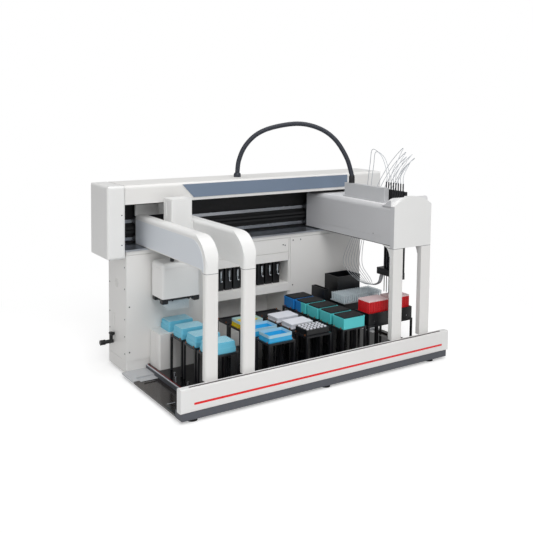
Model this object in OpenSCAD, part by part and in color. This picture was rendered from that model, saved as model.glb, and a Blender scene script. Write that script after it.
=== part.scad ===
// Dual-bridge benchtop liquid handler.
// Millimetres, +X to the right, +Y to the back, +Z up, origin on the bench under the middle.

/* [Overall] */
// Width over the two beam end caps
overall_w = 1600; // [1500:1:1800]
// Depth from the front rail to the back of the tower
overall_d = 808; // [808:1:900]
// Height of a levelling foot
foot_h = 12; // [8:1:20]
// Radius of a levelling foot
foot_r = 22; // [16:1:28]

/* [Base and deck] */
// Width of the front plinth
plinth_w = 1454; // [1440:1:1466]
// Depth of the front plinth
plinth_d = 58; // [50:1:62]
// Height of the front plinth
plinth_h = 33; // [30:1:40]
// Height of the members under the deck
member_h = 24; // [20:1:26]
// Width of a member under the deck
member_w = 50; // [40:1:60]
// Thickness of the deck plates
deck_t = 4; // [3:0.5:6]
// Half of the deck width
deck_half_w = 609; // [600:1:640]
// Number of deck plates across the width
deck_plates = 5; // [3:1:7]
// Gap between two deck plates
deck_gap = 1.6; // [0.8:0.1:3]
// Width of a side tray
tray_w = 118; // [106:1:126]
// Thickness of the side tray sheet
tray_t = 2; // [1.5:0.5:3]

/* [Front rail] */
// Height of the front rail
rail_h = 97; // [90:1:105]
// Depth of the front rail
rail_d = 33; // [30:1:40]
// Length of the front rail between its end caps
rail_w = 1386; // [1370:1:1400]
// Length of a rail end cap
rail_cap_l = 42; // [30:1:50]
// Width of the track set into the top of the rail
track_w = 7; // [4:0.5:8]

/* [Tower] */
// Distance of the tower's left face from the left end of the open beam
tower_in0 = 9; // [3:1:25]
// Distance of the tower's right face from the right end of the open beam
tower_in1 = 47; // [15:1:75]
// Depth of the tower
tower_d = 210; // [205:1:214]
// Height of the tower top above the bench
tower_top = 577; // [570:1:585]
// Thickness of the front panels
fascia_t = 4; // [3:0.5:5]
// Left side of the pump bay
bay_x0 = -230; // [-240:1:-226]
// Right side of the pump bay
bay_x1 = 188; // [170:1:192]
// Floor of the pump bay
bay_z0 = 324; // [318:1:330]
// Ceiling of the pump bay
bay_z1 = 440; // [438:1:450]
// Ceiling of the alcove over the deck
alcove_z1 = 282; // [270:1:290]
// Number of syringe pumps
pumps = 8; // [4:1:8]
// Pitch of the syringe pumps
pump_pitch = 47.8; // [44:0.1:48]

/* [Beam] */
// How far the beam stands out in front of the tower
beam_out = 14; // [10:1:18]
// Depth of the beam
beam_d = 207; // [200:1:215]
// Height of the beam top above the bench
beam_top = 876; // [870:1:890]
// Lower edge of the front band of the beam
band_z = 790; // [786:1:800]
// Thickness of the floor plate of the beam
beam_floor_t = 7; // [5:1:8]
// Depth of the open channel in the beam
channel_d = 160; // [155:1:170]
// Length of a beam end cap
cap_l = 85; // [70:1:95]
// Height of the lower X guide rail
guide_z0 = 606; // [604:1:612]
// Height of the upper X guide rail
guide_z1 = 690; // [684:1:700]
// Height and depth of an X guide rail
guide_s = 15; // [12:1:18]

/* [Left bridge] */
// Left face of the first arm
arm_x0 = -613; // [-620:1:-605]
// Width of one arm
arm_w = 61; // [50:1:62]
// Gap between the two arms
arm_gap = 116; // [110:1:120]
// Underside of the arms
arm_z0 = 587; // [586:1:592]
// Height of the arms
arm_h = 135; // [120:1:145]
// Outer radius of the bend at the front of the arms
bend_r = 122; // [90:1:128]
// Thickness of the posts
post_t = 25; // [20:1:30]
// Radius of the inner corner of the bend
inner_r = 24; // [15:1:30]
// Radius of the long outer edges of the arms
edge_r = 12; // [6:1:16]
// Height of the seam between an arm and its post
seam_z = 576; // [570:1:580]

/* [Left pod and head] */
// Depth of the pod column
pod_d = 88; // [80:1:96]
// Top of the pod column
pod_top = 817; // [800:1:840]
// Width of the multichannel head
head_w = 193; // [180:1:200]
// Depth of the multichannel head
head_d = 118; // [112:1:122]
// Height of the head casing
head_h = 161; // [150:1:165]
// Underside of the head casing
head_z = 369; // [365:1:375]
// Pitch of the tips
tip_pitch = 9; // [8.5:0.1:9.2]
// Length of a tip below the head plate
tip_l = 50; // [40:1:52]

/* [Right bridge] */
// Left face of the wide arm
wide_x0 = 381; // [375:1:390]
// Width of the wide arm
wide_w = 239; // [230:1:245]
// Height of the wide arm
wide_h = 188; // [180:1:195]
// Peak height of the hood above the bench
hood_top = 817; // [805:1:830]
// Width of a leg
leg_w = 60; // [50:1:64]
// Height of the cable box
box_h = 70; // [60:1:80]
// Length of the cable box
box_l = 299; // [280:1:302]

/* [Probes] */
// Pitch of the probes
probe_pitch = 16.6; // [15:0.1:17]
// Distance of the first probe from the front of the machine
probe_y0 = 194; // [190:1:196]
// Radius of a probe rod
rod_r = 4.6; // [4:0.1:5]
// Outer radius of a drive sleeve
sleeve_r = 6.6; // [6.2:0.1:7]
// Height of the probe tips above the bench
tip_z = 325; // [322:1:335]
// Running clearance round a rod
rod_clear = 0.4; // [0.2:0.1:0.6]

/* [Labware] */
// Width of a piece of labware
lab_w = 128; // [124:1:130]
// Depth of a piece of labware
lab_d = 90; // [84:1:92]
// Height of the stands above the bench
stand_z = 200; // [190:1:203]
// Section of a stand leg
stand_s = 9; // [7:1:11]
// Height of a tip box
tipbox_h = 46; // [40:1:48]
// Height of a foam topped box
foambox_h = 50; // [44:1:54]
// Height of a reservoir
reservoir_h = 34; // [28:1:38]
// Height of a plate
plate_h = 22; // [16:1:26]
// Pitch of the sample tubes
tube_pitch = 10.4; // [9:0.1:10.8]

/* [Hidden] */
$fn = 48;

eps = 0.01;
run = 0.3;
tray_half_w = deck_half_w + tray_w;
front_y = -overall_d / 2;
back_y = overall_d / 2;
plinth_z = foot_h + plinth_h;
deck_z = foot_h + member_h + deck_t;
rail_top = plinth_z + rail_h;
tower_y0 = back_y - tower_d;
fascia_y = tower_y0 - fascia_t;
beam_y0 = tower_y0 - beam_out;
beam_y1 = beam_y0 + beam_d;
beam_half = overall_w / 2 - cap_l;
tower_x0 = tower_in0 - beam_half;
tower_x1 = beam_half - tower_in1;
channel_y = beam_y0 + channel_d;
floor_top = tower_top + beam_floor_t;
post_y = front_y + 24;
guide_y = channel_y - 4 - guide_s;
arm_top = arm_z0 + arm_h;
arm2_x0 = arm_x0 + arm_w + arm_gap;
pod_x = arm_x0 + arm_w + arm_gap / 2;
carriage_y = guide_y - 10;
arm_back = carriage_y - 12;
wide_top = arm_z0 + wide_h;
wide_x1 = wide_x0 + wide_w;
probe_x = wide_x0 + 103;
probes_y0 = front_y + probe_y0;
probe_n = 8;
sleeve_z1 = 836;
guide_block_z = [411, 443];
cell_x0 = probe_x - 18.5;
cell_x1 = cell_x0 + 95;
pod_y0 = probes_y0 - (probe_n - 1) * probe_pitch - 13.8;
pod_y1 = probes_y0 + 14;
pod_back = 260;
col_x = [-474, -169, 36, 224];
col_top = [stand_z + 4, stand_z, stand_z, stand_z + 8];
row1_y = [-236, -110, 16, 142];
row2_y = [-220, -102, 16, 134];
row4_y = [for (i = [0:4]) -255 + 100 * i];
foam_d = lab_d - 2;
rack_c = [452, -246];
rack_s = [278, 99, 58];
tips_c = [497.5, 10];
tips_s = [257, 112];
riser_h = 38;
bin_x = [427, 578];
slot_x = [340, 368];
bins_y = [tower_y0 - 114, tower_y0 - fascia_t - 1];

// ---------- shared shapes ----------

// Box between two limits on each axis.
module block(x, y, z) {
  translate([x[0], y[0], z[0]]) cube([x[1] - x[0], y[1] - y[0], z[1] - z[0]]);
}

// Rectangle with four round corners.
module round_rect(x, y, r) {
  translate([x[0] + r, y[0]]) square([x[1] - x[0] - 2 * r, y[1] - y[0]]);
  translate([x[0], y[0] + r]) square([x[1] - x[0], y[1] - y[0] - 2 * r]);
  for (i = [x[0] + r, x[1] - r], j = [y[0] + r, y[1] - r]) translate([i, j]) circle(r);
}

// Outline drawn in Y and Z, drawn out along X.
module along_x(x) {
  translate([x[0], 0, 0]) rotate([90, 0, 90]) linear_extrude(x[1] - x[0]) children();
}

// Outline drawn in X and Z, drawn out along Y.
module along_y(y) {
  translate([0, y[1], 0]) rotate([90, 0, 0]) linear_extrude(y[1] - y[0]) children();
}

// Outline drawn in X and Y, drawn out along Z.
module along_z(z) {
  translate([0, 0, z[0]]) linear_extrude(z[1] - z[0]) children();
}

// Box with round upright edges.
module round_block(x, y, z, r) {
  along_z(z) round_rect(x, y, r);
}

// Moulded box with every edge rounded.
module soft_block(x, y, z, r) {
  intersection() {
    along_z(z) round_rect(x, y, r);
    along_x(x) round_rect(y, z, r);
    along_y(y) round_rect(x, z, r);
  }
}

// Tube swept through hand-chosen points, one ring at each point of a smooth curve.
function curve_at(p, i, t) =
  let (a = p[max(i - 1, 0)], b = p[i], c = p[i + 1], d = p[min(i + 2, len(p) - 1)])
  0.5 * (2 * b + (c - a) * t + (2 * a - 5 * b + 4 * c - d) * t * t + (3 * b - a - 3 * c + d) * t * t * t);
function smooth(p, n) =
  [for (i = [0:len(p) - 2], k = [0:n - 1]) curve_at(p, i, k / n), p[len(p) - 1]];
function unit(v) = v / norm(v);
function side_of(d, u) = unit(cross(cross(d, u), d));
module cord(points, r, sides, n, first_dir, last_dir) {
  q = smooth(points, n);
  last = len(q) - 1;
  dirs = [for (i = [0:last]) i == 0 ? first_dir : i == last ? last_dir : unit(q[i + 1] - q[i - 1])];
  rings = [for (i = [0:last]) let (d = dirs[i], a = side_of(d, [1, 0.02, 0.01]), b = cross(d, a))
    for (k = [0:sides - 1]) q[i] + r * (a * cos(360 * k / sides) + b * sin(360 * k / sides))];
  sides_f = [for (i = [0:last - 1], k = [0:sides - 1]) let (m = (k + 1) % sides)
    each [[i * sides + k, (i + 1) * sides + k, (i + 1) * sides + m],
      [i * sides + k, (i + 1) * sides + m, i * sides + m]]];
  caps = [[for (k = [0:sides - 1]) k], [for (k = [sides - 1:-1:0]) last * sides + k]];
  polyhedron(rings, concat(sides_f, caps), convexity = 8);
}

// ---------- base and deck ----------

foot_places = [for (x = [-plinth_w / 2 + 60, 0, plinth_w / 2 - 60], y = [front_y + 34, back_y - 44])
  [min(x, tower_x1 - 30), y]];

module base_frame() {
  color("#5A5E66") {
    y0 = front_y + 4;
    y1 = y0 + plinth_d;
    along_x([-plinth_w / 2, plinth_w / 2]) round_rect([y0, y1], [foot_h, plinth_z], 3);
    for (x = [-deck_half_w, -member_w / 2, deck_half_w - member_w])
      block([x, x + member_w], [y1 - 1, tower_y0], [foot_h, foot_h + member_h]);
  }
}

module levelling_feet() {
  color("#1B1C1E") for (p = foot_places) translate([p[0], p[1], 0]) {
    cylinder(h = foot_h - 5, r1 = foot_r, r2 = foot_r - 3);
    cylinder(h = foot_h, r = foot_r / 2);
  }
}

module deck_plates() {
  w = (2 * deck_half_w - (deck_plates - 1) * deck_gap) / deck_plates;
  color("#15161A") for (i = [0:deck_plates - 1]) {
    x = -deck_half_w + i * (w + deck_gap);
    block([x, x + w], [front_y + 4 + plinth_d + 1, tower_y0 - 0.5], [deck_z - deck_t, deck_z]);
  }
}

// Pressed tray with an upturned lip and a raised shelf at its back end.
module side_trays() {
  y = [front_y + 4 + plinth_d + 1, tower_y0 - 0.5];
  color("#B9BCC2") for (m = [0, 1]) mirror([m, 0, 0]) {
    z0 = foot_h + 2;
    block([deck_half_w, tray_half_w], y, [z0, z0 + tray_t]);
    block([tray_half_w - tray_t, tray_half_w], y, [z0, z0 + 9]);
    block([tray_half_w - 26, tray_half_w], y, [z0 + 9 - tray_t, z0 + 9]);
    block([deck_half_w, tray_half_w], [y[1] - 90, y[1]], [z0 + tray_t, z0 + 9]);
  }
}

// ---------- front rail ----------

// Closed section of the rail, in Y and Z.
module rail_section(grow) {
  round_rect([front_y + 1 - grow, front_y + rail_d], [plinth_z, rail_top], 5);
}

module front_rail() {
  color("#ECEBE9") difference() {
    along_x([-rail_w / 2, rail_w / 2]) rail_section(0);
    y = front_y + 9;
    block([-rail_w, rail_w], [y, y + track_w + 0.6], [rail_top - 6, rail_top + 1]);
    for (z = [plinth_z + 8, rail_top - 62])
      block([-rail_w, rail_w], [front_y, front_y + 1.8], [z, z + 1.2]);
  }
}

module rail_track() {
  y = front_y + 9.3;
  color("#5C5254") block([-rail_w / 2, rail_w / 2], [y, y + track_w], [rail_top - 6, rail_top - 1.5]);
}

module rail_end_caps() {
  color("#ECEBE9") for (m = [0, 1]) mirror([m, 0, 0])
    along_x([rail_w / 2, rail_w / 2 + rail_cap_l]) rail_section(1);
}

// ---------- tower ----------

module tower_casing() {
  color("#E9E9E8") difference() {
    round_block([tower_x0, tower_x1], [tower_y0, back_y], [foot_h, tower_top], 4);
    block([bay_x0, bay_x1], [tower_y0 - 1, tower_y0 + 130], [bay_z0, bay_z1]);
    block([bay_x0, bay_x1], [tower_y0 - 1, back_y - 20], [deck_z, alcove_z1]);
    for (x = [tower_x0 - 1, tower_x1 - 1.5])
      block([x, x + 2.5], [tower_y0 - 1, back_y + 1], [foot_h + 54, foot_h + 56]);
    translate([tower_x0 - 1, back_y - 66, foot_h + 183])
      block([0, 5], [-4, 4], [0, 67]);
    translate([tower_x0 - 1, back_y - 99, tower_top - 166]) rotate([0, 90, 0]) {
      for (q = [0:2]) for (k = [0:max(6 * q, 1) - 1])
        rotate(k * 60 / max(q, 1)) translate([9 * q, 0, 0]) cylinder(h = 5, r = 2.6);
    }
  }
}

// Panels screwed to the front of the tower, with open seams between them.
module front_panels() {
  y = [fascia_y, tower_y0];
  top = tower_top - 21;
  color("#EDECEA") {
    block([tower_x0, bay_x0 - 6], y, [foot_h + 57, top]);
    block([bay_x0 - 3, bay_x1], y, [bay_z1 + 46, top]);
    block([bay_x0 - 3, bay_x1], y, [bay_z1 + 1, bay_z1 + 43]);
    block([bay_x0 - 3, bay_x1], y, [alcove_z1 + 1, bay_z0 - 1]);
    block([bay_x1 + 3, bay_x1 + 10], y, [foot_h + 57, top]);
    block([bay_x1 + 13, tower_x1], y, [foot_h + 57, top]);
    block([bay_x0 - 3, bay_x1 + 10], [y[0] - 4, y[0]], [alcove_z1 + 1, bay_z0 - 1]);
    block([tower_x0, tower_x1], [y[0], y[1]], [top + 3, tower_top]);
  }
}

module panel_screws() {
  y = fascia_y;
  top = tower_top - 21;
  spots = [[bay_x1 - 34, top - 32], [bay_x1 - 22, top - 36], [bay_x1 + 28, top - 14], [bay_x1 + 28, bay_z0 - 16],
    [bay_x1 + 76, top - 14], [tower_x1 - 12, top - 14], [tower_x1 - 12, bay_z0 - 16], [tower_x0 + 14, 110],
    [tower_x0 + 14, 320], [bay_x0 - 20, 110], [bay_x0 - 20, 320]];
  color("#77787C") {
    for (s = spots) translate([s[0], y, s[1]]) rotate([90, 0, 0]) cylinder(h = 1.2, r = 3.4);
    for (z = [100, 180, 260, 400, 500], d = [16, tower_d - 16])
      translate([tower_x0, tower_y0 + d, z]) rotate([0, -90, 0]) cylinder(h = 1.2, r = 3.2);
  }
}

// Drain tap on the left side: wall stub, body, cross handle, elbow and quick connector.
module side_valve() {
  y = back_y - 69;
  color("#24262B") {
    translate([tower_x0, y, 163]) rotate([0, -90, 0]) cylinder(h = 22, r = 7);
    translate([tower_x0 - 16, y, 128]) cylinder(h = 44, r = 8);
    translate([tower_x0 - 16, y - 17, 163]) rotate([-90, 0, 0]) cylinder(h = 34, r = 6);
    translate([tower_x0 - 6, y, 128]) rotate([0, -90, 0]) cylinder(h = 40, r = 9);
    translate([tower_x0 - 46, y, 128]) rotate([0, -90, 0]) cylinder(h = 24, r = 12);
  }
}

// ---------- syringe pumps ----------

pump_x = [for (i = [0:pumps - 1]) -202 + pump_pitch * i];
pump_y = tower_y0 + 14;

module pump_bodies() {
  color("#15171B") for (x = pump_x) {
    round_block([x - 20, x + 20], [pump_y + 8, tower_y0 + 130], [bay_z0, bay_z1 - 2], 4);
    block([x - 7, x + 7], [pump_y - 6, pump_y + 8], [bay_z1 - 16, bay_z1 - 4]);
  }
}

module syringe_barrels() {
  z1 = bay_z1 - 16;
  color("#C9D3DC") for (x = pump_x) translate([x, pump_y, 0]) difference() {
    union() {
      translate([0, 0, z1 - 10]) cylinder(h = 10, r1 = 3.6, r2 = 6.4);
      translate([0, 0, z1 - 34]) cylinder(h = 26, r = 4);
    }
    translate([0, 0, z1 - 35]) cylinder(h = 30, r = 2.3);
  }
}

module syringe_plungers() {
  z1 = bay_z1 - 16;
  color("#D8DADD") for (x = pump_x) translate([x, pump_y, 0]) {
    translate([0, 0, z1 - 52]) cylinder(h = 43, r = 1.9);
    translate([-1.9, -1.9, z1 - 55]) cube([8, 3.8, 3]);
    translate([6, 0, z1 - 53.5]) sphere(r = 4.4);
  }
}

// ---------- beam ----------

module beam_cover() {
  color("#F1F1F0") along_x([-beam_half, beam_half]) difference() {
    round_rect([beam_y0, beam_y1], [tower_top, beam_top], 16);
    translate([beam_y0 - 1, tower_top - 1]) square([channel_d + 1, band_z - tower_top + 1]);
  }
}

module beam_floor() {
  color("#B4B9C1") block([-beam_half, beam_half], [beam_y0 + 2, channel_y], [tower_top, floor_top]);
}

module beam_liner() {
  x = [-beam_half, beam_half];
  color("#0E0F12") {
    block(x, [channel_y - 4, channel_y], [floor_top, band_z]);
    block(x, [beam_y0 + 4, channel_y - 4], [band_z - 4, band_z]);
  }
}

module x_guide_rails() {
  color("#C3C7CC") for (z = [guide_z0, guide_z1])
    along_x([-beam_half + 38, beam_half - 38]) difference() {
      translate([guide_y, z - guide_s / 2]) square(guide_s);
      for (s = [-1, 1]) translate([guide_y + 5, z + s * guide_s / 2]) circle(2.4);
    }
}

belt_z = (guide_z0 + guide_z1) / 2;
module x_drive_belts() {
  px = beam_half - 26;
  py = channel_y - 15;
  color("#2A2B2F") for (z = [belt_z - 14, belt_z + 4]) {
    along_z([z, z + 10]) difference() {
      round_rect([-px - 10, px + 10], [py - 10, py + 10], 9.9);
      round_rect([-px - 8.4, px + 8.4], [py - 8.4, py + 8.4], 8.3);
    }
    for (x = [-px, px]) translate([x, py, z]) cylinder(h = 10, r = 8.2);
  }
  color("#2A2B2F") for (x = [-px, px]) translate([x, py, floor_top]) cylinder(h = belt_z + 20 - floor_top, r = 4);
}

module beam_end_caps() {
  color("#F1F1F0") for (m = [0, 1]) mirror([m, 0, 0])
    soft_block([beam_half, overall_w / 2], [beam_y0 - 5, beam_y1], [tower_top - 31, beam_top], 12);
}

// Plain plate on the band of the beam, with one slanted end.
module band_plate() {
  z = [band_z + 14, beam_top - 9];
  color("#8593A3") along_y([beam_y0 - 3, beam_y0])
    polygon([[-370, z[0]], [560, z[0]], [560, z[1]], [-430, z[1]]]);
}

// ---------- left bridge ----------

// Side outline of an arm with its post, drawn in Y and Z. g pulls the top and front inwards, u the underside.
module bridge_outline(g, u) {
  by = post_y + bend_r;
  bz = arm_top - bend_r;
  iy = post_y + post_t;
  difference() {
    union() {
      translate([by, arm_z0 + u]) square([arm_back - by - u, arm_h - g - u]);
      translate([by, bz]) circle(bend_r - g);
      translate([post_y + g, rail_top + run]) square([bend_r - g, bz - rail_top]);
    }
    translate([iy + inner_r, 0]) square([arm_back, arm_z0 + u]);
    translate([iy - u, 0]) square([inner_r + 2 * u + eps, arm_z0 - inner_r]);
    translate([iy + inner_r, arm_z0 - inner_r]) circle(inner_r + u);
  }
}

// Rounds the upper edges of whatever runs along Y.
module arm_crown(x, y, z, r) {
  along_y(y) union() {
    round_rect(x, [z[0] - 2 * r, z[1]], r);
    translate([x[0], z[0] - 2 * r]) square([x[1] - x[0], 3 * r]);
  }
}

// Plan of an arm with its two front edges rounded.
module arm_plan(x) {
  round_rect(x, [post_y, post_y + bend_r], edge_r);
  translate([x[0], post_y + edge_r]) square([x[1] - x[0], arm_back - post_y - edge_r]);
}

module left_arms() {
  end = arm2_x0 + arm_w;
  color("#ECEBE9") {
    for (x = [arm_x0, arm2_x0]) intersection() {
      along_x([x, x + arm_w]) bridge_outline(0, 0);
      arm_crown([x, x + arm_w], [post_y - 1, arm_back + 1], [seam_z + run, arm_top], edge_r + 4);
      along_z([seam_z + run, arm_top + 1]) arm_plan([x, x + arm_w]);
    }
    block([arm_x0, end], [arm_back, carriage_y], [guide_z1 + 26, band_z - 6]);
    block([pod_x - 12, end], [arm_back - 31, arm_back + 1], [arm_top, band_z - 6]);
  }
}

module left_posts() {
  color("#ECEBE9") for (x = [arm_x0, arm2_x0]) intersection() {
    along_x([x, x + arm_w]) bridge_outline(0, 0);
    along_z([rail_top, seam_z]) arm_plan([x, x + arm_w]);
  }
}

// Shallow inlays on the two outer faces of the arms.
module left_inlays() {
  color("#DFE3E8") for (x = [arm_x0 - 1.6, arm2_x0 + arm_w]) intersection() {
    along_x([x, x + 1.6]) bridge_outline(edge_r + 9, 5);
    block([x, x + 1.6], [post_y, arm_back - 8], [seam_z + 4, arm_top]);
  }
}

// Bearing block with a slot that runs on an X guide rail.
module rail_shoe(x, z) {
  color("#3A3D43") difference() {
    block([x - 30, x + 30], [carriage_y, channel_y - 5], [z - 15, z + 15]);
    block([x - 31, x + 31], [guide_y - run, channel_y], [z - guide_s / 2 - run, z + guide_s / 2 + run]);
  }
}

// Carriage: upright plate on the end of the arms with two shoes on each guide rail.
module carriage(x0, x1) {
  color("#3A3D43") block([x0, x1], [arm_back, carriage_y], [arm_z0 + 3, guide_z1 + 26]);
  for (x = [x0 + 32, x1 - 32], z = [guide_z0, guide_z1]) rail_shoe(x, z);
}

module left_carriage() {
  carriage(arm_x0, arm2_x0 + arm_w);
}

// ---------- left pod and multichannel head ----------

pod_y = beam_y0 - 84;
head_y = [pod_y - 36, pod_y - 36 + head_d];
slide_r = 9;
slide_off = 30;

module left_z_column() {
  y = [pod_y - pod_d / 2, pod_y + pod_d / 2];
  half = arm_gap / 2;
  color("#ECEBE9") difference() {
    union() {
      round_block([pod_x - half + 4, pod_x + half - 8], y, [seam_z + 2, pod_top], 8);
      block([pod_x - half + 0.5, pod_x + half - 0.5], [y[0] + 6, y[1] - 6], [arm_z0 + 4, arm_top - 8]);
    }
    for (s = [-1, 1]) translate([pod_x + s * slide_off, pod_y, seam_z]) cylinder(h = pod_top - seam_z - 8, r = slide_r + run);
    block([pod_x - half, pod_x - half + 7], [pod_y - 14, pod_y + 14], [arm_top + 12, pod_top - 12]);
  }
}

module head_cover() {
  x = [pod_x - head_w / 2, pod_x + head_w / 2];
  color("#ECEBE9") difference() {
    hull() {
      for (i = [x[0] + 16, x[1] - 16], j = [head_y[0] + 16, head_y[1] - 16])
        translate([i, j, head_z + head_h - 16]) sphere(r = 16, $fn = 32);
      for (i = [x[0] + 10, x[1] - 10], j = [head_y[0] + 10, head_y[1] - 10])
        translate([i, j, head_z]) cylinder(h = 10, r = 8, $fn = 32);
    }
    difference() {
      block([x[0] - 1, x[1] + 1], [head_y[0] - 1, head_y[1] + 1], [head_z + 135, head_z + 137]);
      block([x[0] + 2, x[1] - 2], [head_y[0] + 2, head_y[1] - 2], [head_z + 134, head_z + 138]);
    }
  }
}

// Two guide rods, the mandrel plate and its clamp bars.
module head_slide() {
  x = [pod_x - head_w / 2 + 22, pod_x + head_w / 2 - 22];
  y = [head_y[0] + 12, head_y[1] - 12];
  color("#17181B") {
    for (s = [-1, 1]) translate([pod_x + s * slide_off, pod_y, head_z + head_h]) cylinder(h = 225, r = slide_r);
    block(x, y, [head_z - 12, head_z]);
    for (i = [x[0] - 8, x[1] - 4]) block([i, i + 12], [y[0] + 8, y[1] - 8], [head_z - 16, head_z - 2]);
    for (i = [x[0] + 30, x[1] - 36]) block([i, i + 6], [y[0] - 6, y[0]], [head_z - 14, head_z - 2]);
  }
}

module head_tips() {
  z = head_z - 12;
  c = (head_y[0] + head_y[1]) / 2;
  color("#D3E6F2", 0.5) {
    block([pod_x - 56, pod_x + 56], [c - 38, c + 38], [z - 2, z]);
    for (i = [-5.5:5.5], j = [-3.5:3.5]) translate([pod_x + i * tip_pitch, c + j * tip_pitch, z - tip_l])
      cylinder(h = tip_l - 2 + eps, r1 = 0.7, r2 = 2.7, $fn = 16);
  }
}

// ---------- right bridge ----------

module right_arm() {
  r = 22;
  color("#C9C9CA") difference() {
    along_y([post_y + post_t, arm_back]) union() {
      round_rect([wide_x0, wide_x1], [arm_z0 + 60, wide_top], r);
      translate([wide_x0, arm_z0]) square([wide_w, wide_h - r]);
    }
    block([cell_x0, cell_x1], [post_y + post_t + 6, pod_y1 + pod_back + 10], [arm_z0 + 13, wide_top - 15]);
    block([probe_x - 8, probe_x + 8], [post_y + post_t + 8, pod_y1 + pod_back], [arm_z0 + 12, wide_top + 1]);
    block([probe_x - 12, probe_x + 16], [post_y + post_t + 7, pod_y1 + pod_back + 4], [arm_z0 - 1, arm_z0 + 14]);
    block([wide_x0 - 1, wide_x0 + 1], [post_y + 80, beam_y0 - 20], [arm_z0 + 36, arm_z0 + 37.5]);
    block([wide_x0 + 46, wide_x0 + 48], [front_y + 140, beam_y0 - 20], [wide_top - 2, wide_top + 1]);
  }
}

// Front hood: an upright plate with an arched top that meets the arm.
module right_hood() {
  rise = hood_top - wide_top;
  half = wide_w / 2;
  arc_r = (half * half + rise * rise) / (2 * rise);
  color("#ECEBE9") along_y([post_y, post_y + post_t]) intersection() {
    translate([wide_x0 + half, hood_top - arc_r]) circle(arc_r, $fn = 160);
    translate([wide_x0, seam_z + run]) square([wide_w, hood_top - seam_z]);
  }
}

// Side outline of a leg with its curved corner under the arm.
module leg_outline() {
  y = post_y + post_t;
  c = 46;
  translate([post_y, rail_top + run]) square([post_t, seam_z - rail_top - run]);
  difference() {
    translate([y - eps, arm_z0 - c - 4]) square([c + 4, c + 4]);
    translate([y + c + 4, arm_z0 - c - 4]) circle(c);
    translate([y + c + 4, arm_z0 - 2 * c]) square([1, 2 * c - 4]);
  }
}

module right_legs() {
  color("#ECEBE9") for (x = [wide_x0, wide_x1 - leg_w]) along_x([x, x + leg_w]) leg_outline();
}

module right_carriage() {
  carriage(wide_x0, wide_x1);
}

box_y1 = beam_y0 - 132;
box_x = [wide_x0 + 53, wide_x0 + 83];
module cable_box() {
  color("#C6C6C6") {
    round_block(box_x, [box_y1 - box_l, box_y1], [wide_top, wide_top + box_h], 2);
    block([box_x[0] - 6, box_x[0]], [box_y1 - box_l + 4, box_y1], [wide_top, wide_top + 6]);
    translate([(box_x[0] + box_x[1]) / 2, box_y1 - 39, wide_top + box_h - eps]) {
      cylinder(h = collar_h - 8 + eps, r = hose_r + 2.9);
      translate([0, 0, collar_h - 8]) cylinder(h = 8 + eps, r1 = hose_r + 2.9, r2 = hose_r + 1.5);
    }
  }
}

// ---------- probe pod ----------

probe_ys = [for (i = [0:probe_n - 1]) probes_y0 - probe_pitch * i];

module probe_pod() {
  color("#17181B") difference() {
    union() {
      block([cell_x0 + 0.5, cell_x1 - 0.5], [pod_y0, pod_y1], [arm_z0 + 13.4, wide_top - 15.4]);
      for (y = probe_ys) translate([probe_x, y, 0]) {
        translate([0, 0, wide_top - 16]) cylinder(h = sleeve_z1 - wide_top + 16, r = sleeve_r);
        translate([0, 0, sleeve_z1 - eps]) cylinder(h = 35, r = 3.2);
      }
      block([probe_x + 7, probe_x + 14], [pod_y0 + 6, pod_y1 - 6], [guide_block_z[0], arm_z0 + 14]);
      block([probe_x - 14, probe_x + 14], [pod_y0 + 4, pod_y1 + 26], guide_block_z);
      block([probe_x - 14, probe_x + 54], [pod_y1 + 6, pod_y1 + 26], guide_block_z);
    }
    for (y = probe_ys) translate([probe_x, y, 0]) {
      translate([0, 0, guide_block_z[0] - 1]) cylinder(h = 60, r = 2.4);
      translate([0, 0, arm_z0 + 10]) cylinder(h = sleeve_z1 - arm_z0 - 14, r = rod_r + rod_clear);
    }
  }
}

// One probe: guide rod above, thin steel needle below.
module probe(i) {
  color("#1D1F23") translate([probe_x, probe_ys[i], 0]) {
    translate([0, 0, guide_block_z[1] + 7]) cylinder(h = 290, r = rod_r);
    translate([0, 0, tip_z + 8]) cylinder(h = guide_block_z[1] + 8 - tip_z - 8, r = 2);
    translate([0, 0, tip_z]) cylinder(h = 8 + eps, r1 = 0.8, r2 = 2);
  }
}

// ---------- hose and tubing ----------

hose_r = 12;
gland_h = 20;
collar_h = 38;
hose_pts = [[-70, 280, beam_top + gland_h], [-66, 272, 960], [-42, 252, 1032], [10, 222, 1093], [88, 180, 1129],
  [205, 132, 1145], [298, 82, 1120], [365, 42, 1064], [419, 16, 972], [449, 9, wide_top + box_h + collar_h]];
upper_apex = [[530, -53, 1018], [536, -72, 1006], [596, -200, 1030], [604, -212, 1010],
  [598, -224, 988], [598, -262, 1002], [606, -272, 984], [596, -254, 966]];
upper_foot = [20, -6, -44, -68, -95, -118, -140, -162];

module hose_gland() {
  color("#2E323C") translate([hose_pts[0][0], hose_pts[0][1], beam_top]) {
    cylinder(h = gland_h - 8, r = hose_r + 6);
    translate([0, 0, gland_h - 8]) cylinder(h = 8, r1 = hose_r + 6, r2 = hose_r + 3);
  }
}

module cable_hose() {
  color("#2E323C") cord(hose_pts, hose_r, 12, 5, [0, 0, 1], [0, 0, -1]);
}

module upper_tubes() {
  color("#DDE1E4", 0.5) for (i = [0:probe_n - 1]) {
    a = [probe_x, probe_ys[i], sleeve_z1 + 35];
    b = upper_apex[i];
    c = [564 + 3 * i, upper_foot[i], wide_top];
    cord([a, a + [2, 0, 40], (a + b) / 2 + [6, -10, 44], b, (b + c) / 2 + [6, 6, 44], c + [0, 0, 45], c], 1.6, 8, 2, [0, 0, 1], [0, 0, -1]);
  }
}

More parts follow.
